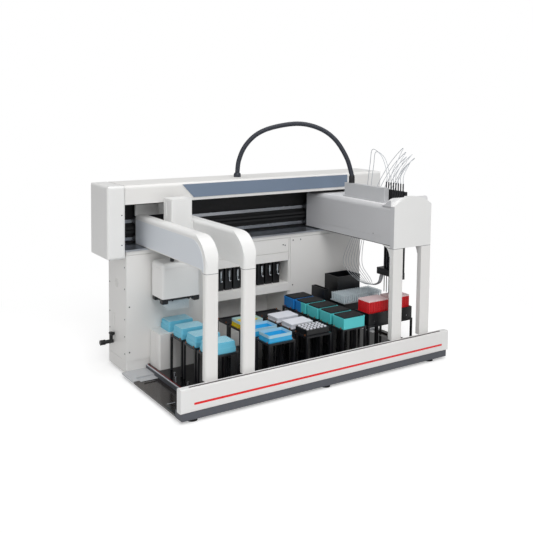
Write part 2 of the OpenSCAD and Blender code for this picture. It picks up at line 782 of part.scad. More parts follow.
module lower_tubes() {
  color("#C9CDD2", 0.7) for (i = [0:probe_n - 1]) {
    x = probe_x + 24 + 3.6 * i;
    s = 48 - 8 * i;
    m = 136 - 18 * i;
    cord([[x, s, arm_z0], [x, (s + m) / 2 + 10, 500], [x, m, 410], [x, m - 64, 352], [x, (m - 60) / 3 - 60, 326],
      [x, -130, 348], [x, pod_y1 + 44, 392], [x, pod_y1 + 26, 427]], 1.4, 8, 2, [0, 0, -1], [0, -1, 0]);
  }
}

// ---------- stands and labware ----------

// Table: four legs under a plate with a shallow recess in its top.
module stand(x, y, top) {
  s = stand_s;
  for (i = [x[0], x[1] - s], j = [y[0], y[1] - s]) block([i, i + s], [j, j + s], [deck_z, top]);
  difference() {
    block(x, y, [top - 8, top]);
    block([x[0] + 1.6 * s, x[1] - 1.6 * s], [y[0] + 1.6 * s, y[1] - 1.6 * s], [top - 3, top + 1]);
  }
}

function nest(cx, cy, dy) = [[cx - lab_w / 2 - 7, cx + lab_w / 2 + 7], [cy - dy / 2, cy + dy / 2]];
nests1 = [for (i = [0:2]) nest(col_x[0], row1_y[i], lab_d + 20)];
nests2 = [for (y = row2_y) nest(col_x[1], y, lab_d + 20)];
nests3 = [for (y = row2_y) nest(col_x[2], y, lab_d + 20)];
nests4 = [for (y = row4_y) nest(col_x[3], y, foam_d)];

module labware_stands() {
  color("#121215") {
    for (n = nests1) stand(n[0], n[1], col_top[0]);
    for (n = concat(nests2, nests3)) stand(n[0], n[1], stand_z);
    for (n = nests4) stand(n[0], n[1], col_top[3]);
    for (i = [0, 1]) {
      x = rack_c[0] - rack_s[0] / 2 - 4 + i * (rack_s[0] / 2 + 4);
      stand([x, x + rack_s[0] / 2 + 3.6], [rack_c[1] - rack_s[1] / 2 - 3, rack_c[1] + rack_s[1] / 2 + 3], stand_z);
    }
    stand([tips_c[0] - tips_s[0] / 2, tips_c[0] + tips_s[0] / 2], [tips_c[1] - tips_s[1] / 2, tips_c[1] + tips_s[1] / 2], stand_z);
    stand([slot_x[0] - 4, bin_x[1] + 4], [bins_y[0] - 6, bins_y[1] + 0.4], stand_z);
  }
}

module nest_pin(x, y, z) {
  translate([x, y, z]) cylinder(h = 7, r = 2.4);
}

module nest_pins() {
  all = [for (n = nests1) [n, col_top[0]], for (n = concat(nests2, nests3)) [n, stand_z], for (n = nests4) [n, col_top[3]]];
  color("#C98B63") for (a = all) {
    x = a[0][0];
    y = a[0][1];
    for (i = [x[0] + 3.4, x[1] - 3.4], j = [y[0] + 20, y[1] - 20]) nest_pin(i, j, a[1]);
  }
}

// White unit with a black nest top, a seam down its side and a plinth step.
module station_unit() {
  x = [col_x[0] - lab_w / 2 - 54, col_x[0] + lab_w / 2 + 2];
  y = [row1_y[3] - lab_d / 2 - 12, fascia_y - 0.6];
  color("#ECEBE9") difference() {
    round_block(x, y, [deck_z, col_top[0] - 6], 9);
    block([x[0] - 1, x[0] + 1.5], [y[0] + 44, y[0] + 46], [deck_z + 4, col_top[0]]);
  }
  color("#1B1C1E") round_block([x[0] + 1, x[1]], [y[0] + 1, y[1]], [col_top[0] - 6, col_top[0]], 8);
}

// Hinged-style tip box: lower body, rim and a slightly smaller lid.
module tip_box(cx, cy, z) {
  w = lab_w / 2;
  d = lab_d / 2;
  m = z + tipbox_h * 0.5;
  round_block([cx - w, cx + w], [cy - d, cy + d], [z, m], 6);
  round_block([cx - w + 2, cx + w - 2], [cy - d + 2, cy + d - 2], [m, z + tipbox_h - 4], 8);
  round_block([cx - w + 5, cx + w - 5], [cy - d + 5, cy + d - 5], [z + tipbox_h - 4, z + tipbox_h], 8);
}

module tip_boxes() {
  color("#7FD0E6") for (y = row1_y) tip_box(col_x[0], y, col_top[0]);
}

// Open trough with a thin wall and a flange.
module trough(cx, cy, z, h, wall) {
  w = lab_w / 2;
  d = lab_d / 2;
  difference() {
    union() {
      round_block([cx - w, cx + w], [cy - d, cy + d], [z, z + 5], 5);
      round_block([cx - w + 2, cx + w - 2], [cy - d + 2, cy + d - 2], [z, z + h], 6);
    }
    round_block([cx - w + 2 + wall, cx + w - 2 - wall], [cy - d + 2 + wall, cy + d - 2 - wall], [z + 3, z + h + 1], 4);
  }
}

module reservoirs() {
  color("#BFE3F2", 0.6) for (i = [0:2]) trough(col_x[1], row2_y[i], stand_z, reservoir_h, 2.4);
}

rack_nx = 6;
rack_ny = 4;
rack_px = (lab_w - 8) / rack_nx;
rack_py = (lab_d - 8) / rack_ny;
rack_at = [col_x[2] - lab_w / 2 + 4, row2_y[0] - lab_d / 2 + 4];
rack_top = stand_z + 26;

// Two plates with a skirt and a rim, and the caps of the tubes in the black rack.
module white_labware() {
  w = lab_w / 2;
  d = lab_d / 2;
  color("#E9EAF2") for (i = [1, 2]) {
    cy = row2_y[i];
    round_block([col_x[2] - w, col_x[2] + w], [cy - d, cy + d], [stand_z, stand_z + 5], 5);
    round_block([col_x[2] - w + 3, col_x[2] + w - 3], [cy - d + 3, cy + d - 3], [stand_z + 5, stand_z + plate_h - 8], 5);
    round_block([col_x[2] - w + 1, col_x[2] + w - 1], [cy - d + 1, cy + d - 1], [stand_z + plate_h - 8, stand_z + plate_h], 6);
  }
  color("#E9EAF2") for (i = [0:rack_nx - 1], j = [0:rack_ny - 1])
    translate([rack_at[0] + (i + 0.5) * rack_px, rack_at[1] + (j + 0.5) * rack_py, rack_top - 3])
      cylinder(h = 6, r = rack_px * 0.34);
}

// Black rack with a shallow square seat for each tube.
module tube_rack() {
  c = [col_x[2], row2_y[0]];
  color("#17181B") difference() {
    round_block([c[0] - lab_w / 2, c[0] + lab_w / 2], [c[1] - lab_d / 2, c[1] + lab_d / 2], [stand_z, rack_top], 4);
    for (i = [0:rack_nx - 1], j = [0:rack_ny - 1])
      translate([rack_at[0] + i * rack_px, rack_at[1] + j * rack_py, rack_top - 3])
        block([1.5, rack_px - 1.5], [1.5, rack_py - 1.5], [0, 4]);
  }
}

module foam_boxes() {
  w = lab_w / 2;
  d = foam_d / 2;
  z = col_top[3];
  for (i = [0:4]) color(i > 2 ? "#1C7AC4" : "#45ADA9") {
    cy = row4_y[i];
    round_block([col_x[3] - w + 1, col_x[3] + w - 1], [cy - d + 1, cy + d - 1], [z, z + foambox_h - 8], 5);
    round_block([col_x[3] - w, col_x[3] + w], [cy - d, cy + d], [z + foambox_h - 8, z + foambox_h], 6);
  }
}

module foam_lids() {
  color("#1B1C1E") for (y = row4_y)
    round_block([col_x[3] - lab_w / 2 + 5, col_x[3] + lab_w / 2 - 5], [y - foam_d / 2 + 4, y + foam_d / 2 - 4],
      [col_top[3] + foambox_h, col_top[3] + foambox_h + 5], 5);
}

// Wide black box with a rim, open at the top where the tube carrier drops in.
module sample_rack_box() {
  x = [rack_c[0] - rack_s[0] / 2, rack_c[0] + rack_s[0] / 2];
  y = [rack_c[1] - rack_s[1] / 2, rack_c[1] + rack_s[1] / 2];
  color("#1A1C20") difference() {
    block(x, y, [stand_z, stand_z + rack_s[2]]);
    block([x[0] + 4, x[1] - 4], [y[0] + 4, y[1] - 4], [stand_z + 30, stand_z + rack_s[2] + 1]);
  }
}

// Two blocks of tubes in rows of twelve, standing in one carrier.
module sample_tubes() {
  x = rack_c[0] - rack_s[0] / 2 + 4.5;
  y = rack_c[1] - rack_s[1] / 2 + 4.5;
  z = stand_z + 30;
  color("#E0101C") {
    block([x, x + rack_s[0] - 9], [y, y + rack_s[1] - 9], [z, z + 26]);
    for (s = [-1, 1], i = [-5.5:5.5], j = [-3.5:3.5])
      translate([rack_c[0] + s * rack_s[0] / 4 + i * tube_pitch, rack_c[1] + j * tube_pitch, z + 26 - eps])
        cylinder(h = 60, r = tube_pitch * 0.4, $fn = 20);
  }
}

module tip_rack() {
  nx = 18;
  ny = 8;
  x = tips_c[0] - tips_s[0] / 2;
  y = tips_c[1] - tips_s[1] / 2;
  z = stand_z + riser_h;
  color("#DCE9F4", 0.7) {
    block([x, x + tips_s[0]], [y, y + tips_s[1]], [z, z + 5]);
    for (i = [0:nx - 1], j = [0:ny - 1])
      translate([x + tips_s[0] * (i + 0.5) / nx, y + tips_s[1] * (j + 0.5) / ny, z + 5 - eps])
        cylinder(h = 36, r1 = 3, r2 = 5.4, $fn = 20);
  }
}

// Riser under the tip rack, an open waste bin and a tall narrow open holder.
module black_bins() {
  color("#1A1C20") {
    round_block([tips_c[0] - tips_s[0] / 2 + 3, tips_c[0] + tips_s[0] / 2 - 3],
      [tips_c[1] - tips_s[1] / 2 + 3, tips_c[1] + tips_s[1] / 2 - 3], [stand_z, stand_z + riser_h], 4);
    for (b = [[bin_x, 344, 5], [slot_x, 291, 4]]) difference() {
      block(b[0], bins_y, [stand_z, b[1]]);
      block([b[0][0] + b[2], b[0][1] - b[2]], [bins_y[0] + b[2], bins_y[1] - b[2]], [stand_z + 4, b[1] + 1]);
    }
  }
}

base_frame();
levelling_feet();
deck_plates();
side_trays();
front_rail();
rail_track();
rail_end_caps();
tower_casing();
front_panels();
panel_screws();
side_valve();
pump_bodies();
syringe_barrels();
syringe_plungers();
beam_cover();
beam_floor();
beam_liner();
x_guide_rails();
x_drive_belts();
beam_end_caps();
band_plate();
left_arms();
left_posts();
left_inlays();
left_carriage();
left_z_column();
head_cover();
head_slide();
head_tips();
right_arm();
right_hood();
right_legs();
right_carriage();
cable_box();
probe_pod();
probe(0);  // probe_1
probe(1);  // probe_2
probe(2);  // probe_3
probe(3);  // probe_4
probe(4);  // probe_5
probe(5);  // probe_6
probe(6);  // probe_7
probe(7);  // probe_8
hose_gland();
cable_hose();
upper_tubes();
lower_tubes();
station_unit();
labware_stands();
nest_pins();
tip_boxes();
reservoirs();
white_labware();
tube_rack();
foam_boxes();
foam_lids();
sample_rack_box();
sample_tubes();
tip_rack();
black_bins();
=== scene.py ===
import math

import bmesh
import bpy
import numpy as np
from mathutils import Matrix, Vector


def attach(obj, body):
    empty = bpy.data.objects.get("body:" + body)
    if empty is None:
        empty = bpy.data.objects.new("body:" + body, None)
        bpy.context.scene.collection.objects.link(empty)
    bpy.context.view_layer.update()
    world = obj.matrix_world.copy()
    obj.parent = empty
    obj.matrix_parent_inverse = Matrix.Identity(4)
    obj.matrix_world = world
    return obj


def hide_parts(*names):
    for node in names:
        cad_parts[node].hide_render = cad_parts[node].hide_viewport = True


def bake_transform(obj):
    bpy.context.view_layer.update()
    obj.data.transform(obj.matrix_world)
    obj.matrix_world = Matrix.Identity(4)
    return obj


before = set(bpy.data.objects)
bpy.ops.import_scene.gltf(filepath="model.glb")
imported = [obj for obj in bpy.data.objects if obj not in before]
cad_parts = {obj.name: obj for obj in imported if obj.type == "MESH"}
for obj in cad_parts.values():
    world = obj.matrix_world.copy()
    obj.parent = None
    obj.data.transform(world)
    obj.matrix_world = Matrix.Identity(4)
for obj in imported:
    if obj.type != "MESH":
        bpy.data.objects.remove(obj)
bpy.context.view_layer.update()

# Dual-bridge benchtop liquid handler. Metres, +X right, +Y to the back, +Z up.
mm = 0.001

# ---------- camera ----------

camera_at = Vector((-2.0227, -2.9188, 1.2651))
camera_turn = 0.5755
camera_dip = 0.075
camera_roll = 0.01001
camera_lens = 50.586
camera_shift = (0.0161, -0.2079)


def place_camera():
    """Looks along the turn and dip from camera_at, with a small roll about its own line of sight."""
    data = bpy.data.cameras.new("camera")
    data.lens = camera_lens
    data.sensor_width = 36
    data.shift_x, data.shift_y = camera_shift
    data.clip_end = 60
    forward = Vector((math.sin(camera_turn), math.cos(camera_turn), 0))
    ahead = forward * math.cos(camera_dip) - Vector((0, 0, math.sin(camera_dip)))
    level = Vector((math.cos(camera_turn), -math.sin(camera_turn), 0))
    upright = level.cross(ahead)
    right = level * math.cos(camera_roll) + upright * math.sin(camera_roll)
    up = upright * math.cos(camera_roll) - level * math.sin(camera_roll)
    turned = Matrix((right, up, -ahead)).transposed().to_4x4()
    camera = bpy.data.objects.new("camera", data)
    camera.matrix_world = Matrix.Translation(camera_at) @ turned
    bpy.context.collection.objects.link(camera)
    bpy.context.scene.camera = camera


place_camera()

# ---------- meshes from numpy ----------


def mesh_piece(name, points, faces, material, smooth=True):
    """Puts computed points and faces into a mesh object that sits at the origin."""
    mesh = bpy.data.meshes.new(name)
    mesh.from_pydata(np.reshape(points, (-1, 3)).tolist(), [], faces)
    mesh.polygons.foreach_set("use_smooth", [smooth] * len(mesh.polygons))
    mesh.materials.append(material)
    mesh.update()
    piece = bpy.data.objects.new(name, mesh)
    bpy.context.collection.objects.link(piece)
    return piece


def skin_faces(rings, sides, offset=0):
    """Faces over a row of closed rings: quads between neighbours and a flat cap at each end."""
    i, j = np.meshgrid(np.arange(rings - 1), np.arange(sides), indexing="ij")
    k = (j + 1) % sides
    quads = np.stack([i * sides + j, i * sides + k, (i + 1) * sides + k, (i + 1) * sides + j], -1)
    first_cap = np.arange(sides)[::-1] + offset
    last_cap = np.arange(sides) + (rings - 1) * sides + offset
    return (quads.reshape(-1, 4) + offset).tolist() + [first_cap.tolist(), last_cap.tolist()]


def smooth_route(knots, steps):
    """Catmull-Rom curve: each span is the cubic whose end slopes are half the chords beside it."""
    knots = np.asarray(knots, float)
    before = np.vstack([knots[:1], knots[:-2]])
    after = np.vstack([knots[2:], knots[-1:]])
    t = (np.arange(steps) / steps)[None, :, None]
    a, b, c, d = (v[:, None, :] for v in (before, knots[:-1], knots[1:], after))
    curve = 2 * b + (c - a) * t + (2 * a - 5 * b + 4 * c - d) * t**2 + (3 * b - a - 3 * c + d) * t**3
    return np.vstack([(0.5 * curve).reshape(-1, 3), knots[-1:]])


def tube_points(path, radii, sides, first, last):
    """Ring of given radius round each path point, square to the path: radius (cos a side + sin a other)."""
    radii = np.broadcast_to(radii, len(path))
    along = np.gradient(path, axis=0)
    along[0], along[-1] = first, last
    along /= np.linalg.norm(along, axis=1, keepdims=True)
    # Every ring counts its sides from this one direction, which no route runs along.
    side = np.cross(along, (0.31, 0.95, 0.02))
    side /= np.linalg.norm(side, axis=1, keepdims=True)
    other = np.cross(along, side)
    angle = np.linspace(0, 2 * math.pi, sides, endpoint=False)[None, :, None]
    ring = np.cos(angle) * side[:, None, :] + np.sin(angle) * other[:, None, :]
    return path[:, None, :] + radii[:, None, None] * ring


def tube_mesh(name, path, radii, sides, material, first, last):
    """Closed tube along a path that starts along first and ends along last."""
    rings = tube_points(path, radii, sides, first, last)
    return mesh_piece(name, rings, skin_faces(len(rings), sides), material)


# ---------- materials ----------


def linear(colour):
    """sRGB hex colour as linear red, green, blue and an alpha of 1."""
    srgb = np.array([int(colour[i:i + 2], 16) / 255 for i in (1, 3, 5)])
    low = srgb / 12.92
    high = ((srgb + 0.055) / 1.055) ** 2.4
    return tuple(np.where(srgb <= 0.04045, low, high)) + (1.0,)


def add(tree, kind, inputs=None, **settings):
    """Adds one node, sets its settings and gives each named input a value or a link."""
    made = tree.nodes.new(kind)
    for key, value in settings.items():
        setattr(made, key, value)
    for key, value in (inputs or {}).items():
        if isinstance(value, bpy.types.NodeSocket):
            tree.links.new(value, made.inputs[key])
        else:
            made.inputs[key].default_value = value
    return made


def start_material(name, shader_inputs):
    """New material with one Principled shader: the material, its tree, the shader and the coordinates."""
    material = bpy.data.materials.new(name)
    material.use_nodes = True
    tree = material.node_tree
    tree.nodes.clear()
    shader = add(tree, "ShaderNodeBsdfPrincipled", shader_inputs)
    add(tree, "ShaderNodeOutputMaterial", {"Surface": shader.outputs[0]})
    place = add(tree, "ShaderNodeTexCoord").outputs["Object"]
    return material, tree, shader, place


def between(tree, value, low, high):
    """1 where the value lies between low and high, else 0."""
    inputs = {0: value, 1: (low + high) / 2, 2: (high - low) / 2}
    return add(tree, "ShaderNodeMath", inputs, operation="COMPARE").outputs[0]


def dashes(tree, value, pitch, width):
    """1 in bands of the given width, one at every multiple of the pitch, else 0."""
    folded = add(tree, "ShaderNodeMath", {0: value, 1: pitch / 2}, operation="PINGPONG").outputs[0]
    return add(tree, "ShaderNodeMath", {0: folded, 1: width / 2}, operation="LESS_THAN").outputs[0]


def both(tree, *masks):
    """1 where every mask is 1."""
    result = masks[0]
    for mask in masks[1:]:
        result = add(tree, "ShaderNodeMath", {0: result, 1: mask}, operation="MULTIPLY").outputs[0]
    return result


def drifting_colour(tree, shader, place, size, first, second):
    """Base colour that drifts between two shades in blotches about size metres across."""
    blotches = add(tree, "ShaderNodeTexNoise", {"Vector": place, "Scale": 1 / size, "Detail": 2.0})
    inputs = {0: blotches.outputs["Fac"], 6: first, 7: second}
    shade = add(tree, "ShaderNodeMix", inputs, data_type="RGBA")
    tree.links.new(shade.outputs[2], shader.inputs["Base Color"])


def varied_roughness(tree, shader, place, roughness):
    """Roughness that wanders by sheen_spread either way in blotches about sheen_size across."""
    blotches = add(tree, "ShaderNodeTexNoise", {"Vector": place, "Scale": 1 / sheen_size, "Detail": 2.0})
    low, high = roughness * (1 - sheen_spread), roughness * (1 + sheen_spread)
    inputs = {"Value": blotches.outputs["Fac"], "To Min": low, "To Max": high}
    tree.links.new(add(tree, "ShaderNodeMapRange", inputs).outputs[0], shader.inputs["Roughness"])


def texture_bump(tree, shader, place, size, height):
    """Fine relief of the given grain size and height on the shader's normal."""
    grain = add(tree, "ShaderNodeTexNoise", {"Vector": place, "Scale": 1 / size, "Detail": 3.0})
    inputs = {"Height": grain.outputs["Fac"], "Distance": height, "Strength": 0.6}
    tree.links.new(add(tree, "ShaderNodeBump", inputs).outputs[0], shader.inputs["Normal"])


# Sizes of the blotches in a coating's shade, in its sheen and in clear plastic.
drift_size = 120 * mm
sheen_size = 14 * mm
sheen_spread = 0.15
cloud_size = 30 * mm


def coated(name, colour, roughness, grain=3 * mm, height=0.05 * mm, drift=0.03, metallic=0.0, gloss=0.5):
    """Coating, moulding or metal: a slow drift of shade, a fine grain and slightly varied roughness."""
    base = linear(colour)
    darker = tuple(c * (1 - drift) for c in base[:3]) + (1.0,)
    inputs = {"Metallic": metallic, "Specular IOR Level": gloss}
    material, tree, shader, place = start_material(name, inputs)
    drifting_colour(tree, shader, place, drift_size, darker, base)
    varied_roughness(tree, shader, place, roughness)
    texture_bump(tree, shader, place, grain, height)
    return material


def paint_over(material, colour, mask_of):
    """Paints the colour where mask_of(tree, x, y, z) is 1, over what the material already shows."""
    tree = material.node_tree
    shader = next(n for n in tree.nodes if n.type == "BSDF_PRINCIPLED")
    place = next(n for n in tree.nodes if n.type == "TEX_COORD").outputs["Object"]
    under = shader.inputs["Base Color"].links[0].from_socket
    mask = mask_of(tree, *add(tree, "ShaderNodeSeparateXYZ", {0: place}).outputs)
    painted = add(tree, "ShaderNodeMix", {0: mask, 6: under, 7: linear(colour)}, data_type="RGBA")
    tree.links.new(painted.outputs[2], shader.inputs["Base Color"])


def clear(name, colour, density, roughness=0.12):
    """Clear or tinted plastic or glass: partly see-through by alpha, so light and shadow pass softly."""
    inputs = {"Roughness": roughness, "Alpha": density, "IOR": 1.5}
    material, tree, shader, place = start_material(name, inputs)
    pale = tuple(min(c * 1.12 + 0.02, 1) for c in linear(colour)[:3]) + (1.0,)
    drifting_colour(tree, shader, place, cloud_size, linear(colour), pale)
    return material


# Powder-coated steel sheet, warm white: a dull even white with a fine orange peel.
powder_white = coated("powder_coated_steel_white", "#E9E8E6", 0.42)
# Moulded and sprayed plastic covers: smoother and a touch cooler than the sheet.
moulded_white = coated("sprayed_polyurethane_white", "#EBEBEA", 0.34, grain=2 * mm, height=0.03 * mm)
# Extruded aluminium rail, painted white, with one red pinstripe and a dark line along its top.
rail_white = coated("painted_extrusion_white", "#EAE9E8", 0.36)
paint_over(rail_white, "#E60A10", lambda tree, x, y, z: both(
    tree, between(tree, z, 72 * mm, 81 * mm), between(tree, x, -675 * mm, 694 * mm)))
paint_over(rail_white, "#5C5254", lambda tree, x, y, z: both(
    tree, between(tree, z, 140.6 * mm, 143 * mm), between(tree, y, -392 * mm, -384 * mm)))
# Painted inlays of the arms: pale blue grey.
inlay_paint = coated("satin_paint_blue_grey", "#DCE1E7", 0.38)
# Painted sheet of the wide arm and the cover of its cable box, under a black collar: neutral grey.
arm_grey = coated("powder_coated_steel_grey", "#C9C9CB", 0.4)
box_grey = coated("abs_cover_grey", "#C4C5C7", 0.45)
paint_over(box_grey, "#17181B", lambda tree, x, y, z: between(tree, z, 845.5 * mm, 886 * mm))
# Posts and legs of the bridges: powder-coated, with a painted shadow line in the joint at the posts' tops.
post_paint_with_joint_shadow = coated("powder_coated_steel_post_with_painted_joint_shadow", "#E9E8E6", 0.42)
# Painted shade: a grey band at z 574.2 to 577 mm stands for the shadow in the joint at the posts' tops.
paint_over(post_paint_with_joint_shadow, "#7C7E82", lambda tree, x, y, z: between(tree, z, 574.2 * mm, 577 * mm))
# The wide arm: grey sides under a white top, over a black trim line. The hood's left side is grey too.
paint_over(arm_grey, "#1B1C1E", lambda tree, x, y, z: between(tree, z, 585 * mm, 590 * mm))
paint_over(arm_grey, "#E6E6E7", lambda tree, x, y, z: between(tree, z, 774.4 * mm, 790 * mm))
hood_paint = coated("sprayed_polyurethane_white_and_grey", "#EBEBEA", 0.34, grain=2 * mm, height=0.03 * mm)
paint_over(hood_paint, "#C9C9CB", lambda tree, x, y, z: both(
    tree, between(tree, x, 380 * mm, 381.2 * mm), between(tree, z, 500 * mm, 790 * mm)))
# Slate-blue satin band on the beam.
slate = coated("satin_paint_slate", "#77869A", 0.4)
# Dark painted steel frame under the machine.
frame_dark = coated("textured_paint_dark_grey", "#55585F", 0.55, grain=2 * mm, height=0.1 * mm, drift=0.1)
# Blacks: matt paint in the beam, anodised carriages, mouldings, rubber, foam and hose. The track is brown.
black_liner = coated("matt_black_paint", "#0C0D10", 0.6, drift=0.3)
carriage_black = coated("black_anodised_aluminium", "#1B1C20", 0.35, drift=0.2)
black_moulded = coated("black_abs", "#141518", 0.32, grain=1.5 * mm, drift=0.2)
rubber = coated("black_nitrile_rubber", "#1B1C1E", 0.7, drift=0.2)
foam = coated("black_closed_cell_foam", "#1A1B1D", 0.85, grain=2.5 * mm, height=0.4 * mm, drift=0.25)
hose_black = coated("corrugated_polyamide_charcoal", "#2C303A", 0.5, drift=0.15)
track_brown = coated("glass_filled_nylon_brown", "#4A4243", 0.55, drift=0.2)
# Machined and drawn metals, and the side trays' enamel with a bright strip at the back.
steel_rail = coated("ground_steel", "#B9BDC3", 0.26, metallic=1.0, drift=0.12)
sill_metal = coated("brushed_aluminium", "#B9BEC6", 0.32, metallic=1.0, drift=0.08)
tray_metal = coated("gloss_enamel_brown_black", "#2B2624", 0.15, drift=0.18, gloss=0.6)
paint_over(tray_metal, "#BFC1C4", lambda tree, x, y, z: between(tree, y, 62 * mm, 200 * mm))
screw_metal = coated("zinc_plated_steel", "#707277", 0.35, metallic=1.0, drift=0.2)
plunger_metal = coated("polished_stainless", "#C9CCD1", 0.18, metallic=1.0, drift=0.05)
probe_metal = coated("black_chromed_steel", "#22242A", 0.25, metallic=0.4, drift=0.1)
copper = coated("copper_plated_pin", "#B8734A", 0.35, metallic=0.8, drift=0.15)
# Deck: glossy black laminate with a bright edge and a red dashed scale at its left.
deck_black = coated("gloss_black_laminate", "#0D0E11", 0.14, drift=0.25, height=0.01 * mm, gloss=0.3)
paint_over(deck_black, "#C9CDD2", lambda tree, x, y, z: between(tree, x, -609.5 * mm, -606 * mm))
paint_over(deck_black, "#C4242A", lambda tree, x, y, z: both(
    tree, between(tree, x, -603 * mm, -599 * mm), dashes(tree, y, 14 * mm, 6 * mm)))
# Labware plastics. Pipette tips stand 9 mm apart, under pale collars.
tip_pitch = 9 * mm
collar_width = 5.6 * mm
cyan_box = coated("polypropylene_cyan", "#74CBE6", 0.3, drift=0.08)
paint_over(cyan_box, "#CFEAF2", lambda tree, x, y, z: both(
    tree, between(tree, z, 249.2 * mm, 251 * mm), dashes(tree, x, tip_pitch, collar_width),
    dashes(tree, y, tip_pitch, collar_width)))
teal_box = coated("polypropylene_teal", "#56D0D4", 0.32, drift=0.08)
paint_over(teal_box, "#1E82D2", lambda tree, x, y, z: between(tree, y, 40 * mm, 260 * mm))
white_plate = coated("polystyrene_white", "#E6E8F0", 0.3, drift=0.04)
red_tube = coated("polypropylene_red", "#D4121C", 0.3, drift=0.12)
paint_over(red_tube, "#F0D9DA", lambda tree, x, y, z: between(tree, z, 309 * mm, 320 * mm))
clear_tip = clear("clear_polypropylene", "#E4EEF6", density=0.5)
clear_tube = clear("ptfe_tubing", "#C4C8CD", density=0.85, roughness=0.3)
clear_blue = clear("tinted_polystyrene_blue", "#35B4E8", density=0.85)
paint_over(clear_blue, "#F2D51C", lambda tree, x, y, z: between(tree, y, -30 * mm, 64 * mm))
paint_over(clear_blue, "#B9E2F2", lambda tree, x, y, z: between(tree, z, 221 * mm, 240 * mm))
glass = clear("borosilicate_glass", "#DCE4EA", roughness=0.05, density=0.4)

finishes = {
    "base_frame": frame_dark, "levelling_feet": rubber, "deck_plates": deck_black, "side_trays": tray_metal,
    "front_rail": rail_white, "rail_track": track_brown, "rail_end_caps": moulded_white,
    "tower_casing": powder_white, "front_panels": powder_white, "panel_screws": screw_metal,
    "side_valve": black_moulded, "pump_bodies": black_moulded, "syringe_barrels": glass,
    "syringe_plungers": plunger_metal, "beam_cover": powder_white, "beam_floor": sill_metal,
    "beam_liner": black_liner, "x_guide_rails": steel_rail, "x_drive_belts": rubber,
    "beam_end_caps": moulded_white, "band_plate": slate, "left_arms": moulded_white, "left_posts": post_paint_with_joint_shadow,
    "left_inlays": inlay_paint, "left_carriage": carriage_black, "left_z_column": moulded_white,
    "head_cover": moulded_white, "head_slide": carriage_black, "head_tips": clear_tip, "right_arm": arm_grey,
    "right_hood": hood_paint, "right_legs": post_paint_with_joint_shadow, "right_carriage": carriage_black,
    "cable_box": box_grey, "probe_pod": carriage_black, "hose_gland": hose_black, "cable_hose": hose_black,
    "upper_tubes": clear_tube, "lower_tubes": clear_tube, "station_unit": powder_white,
    "labware_stands": carriage_black, "nest_pins": copper, "tip_boxes": cyan_box, "reservoirs": clear_blue,
    "white_labware": white_plate, "tube_rack": black_moulded, "foam_boxes": teal_box, "foam_lids": foam,
    "sample_rack_box": black_moulded, "sample_tubes": red_tube, "tip_rack": clear_tip,
    "black_bins": black_moulded,
}
finishes.update({"probe_%d" % i: probe_metal for i in range(1, 9)})


def finish_nodes():
    """Gives each CAD node its finish."""
    for name, material in finishes.items():
        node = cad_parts[name]
        node.data.materials.clear()
        node.data.materials.append(material)


finish_nodes()

# ---------- cords ----------


def bending(piece):
    """Bakes the cord's place into its mesh points, so the cord sits at the origin."""
    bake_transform(piece)


hose_radius = 11.5 * mm
rib_height = 0.5 * mm
rib_pitch = 6.5 * mm
hose_rings = 760
hose_sides = 20
upper_radius = 1.6 * mm
lower_radius = 1.4 * mm
tube_sides = 10
tube_count = 8
# Points on each span between two knots of a route.
hose_steps = 60
tube_steps = 10


def make_hose():
    """Corrugated conduit: radius hose_radius + rib_height cos(2 pi s / rib_pitch) at length s."""
    knots = np.array([
        (-70, 280, 896), (-66, 272, 960), (-42, 252, 1032), (10, 222, 1093), (88, 180, 1129),
        (205, 132, 1145), (298, 82, 1120), (365, 42, 1064), (419, 16, 972), (449, 9, 883)]) * mm
    route = smooth_route(knots, hose_steps)
    along = np.concatenate([[0], np.cumsum(np.linalg.norm(np.diff(route, axis=0), axis=1))])
    even = np.linspace(0, along[-1], hose_rings)
    route = np.stack([np.interp(even, along, route[:, k]) for k in range(3)], -1)
    radii = hose_radius + rib_height * np.cos(2 * math.pi * even / rib_pitch)
    hose = tube_mesh("cable_hose_ribbed", route, radii, hose_sides, hose_black, (0, 0, 1), (0, 0, -1))
    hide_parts("cable_hose")
    bending(hose)


upper_apex = [(530, -53, 1018), (536, -72, 1006), (596, -200, 1030), (604, -212, 1010),
              (598, -224, 988), (598, -262, 1002), (606, -272, 984), (596, -254, 966)]
upper_foot = [20, -6, -44, -68, -95, -118, -140, -162]


def upper_route(i):
    """Route of one tube from the top of a probe up, over and down into the wide arm."""
    a = np.array([484, -210 - 16.6 * i, 871.0])
    b = np.array(upper_apex[i], float)
    c = np.array([564 + 3 * i, upper_foot[i], 775.0])
    knots = [a, a + (2, 0, 40), (a + b) / 2 + (6, -10, 44), b,
             (b + c) / 2 + (6, 6, 44), c + (0, 0, 45), c]
    return smooth_route(np.array(knots) * mm, tube_steps)


def lower_route(i):
    """Route of one tube from the wide arm down and forward to the back of the guide block."""
    x, s, m = 508 + 3.6 * i, 48 - 8 * i, 136 - 18 * i
    knots = [(x, s, 587), (x, (s + m) / 2 + 10, 500), (x, m, 410), (x, m - 64, 352),
             (x, (m - 60) / 3 - 60, 326), (x, -130, 348), (x, -152, 392), (x, -170, 427)]
    return smooth_route(np.array(knots) * mm, tube_steps)


def make_tubing():
    """The clear tubing above and under the wide arm, each tube by itself."""
    for i in range(tube_count):
        above = upper_route(i)
        name = "upper_tubing_%d" % (i + 1)
        tube = tube_mesh(name, above, upper_radius, tube_sides, clear_tube, (0, 0, 1), (0, 0, -1))
        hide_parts("upper_tubes")
        bending(tube)
        below = lower_route(i)
        name = "lower_tubing_%d" % (i + 1)
        tube = tube_mesh(name, below, lower_radius, tube_sides, clear_tube, (0, 0, -1), (0, -1, 0))
        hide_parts("lower_tubes")
        bending(tube)


make_hose()
make_tubing()

# ---------- fittings that only the render carries ----------


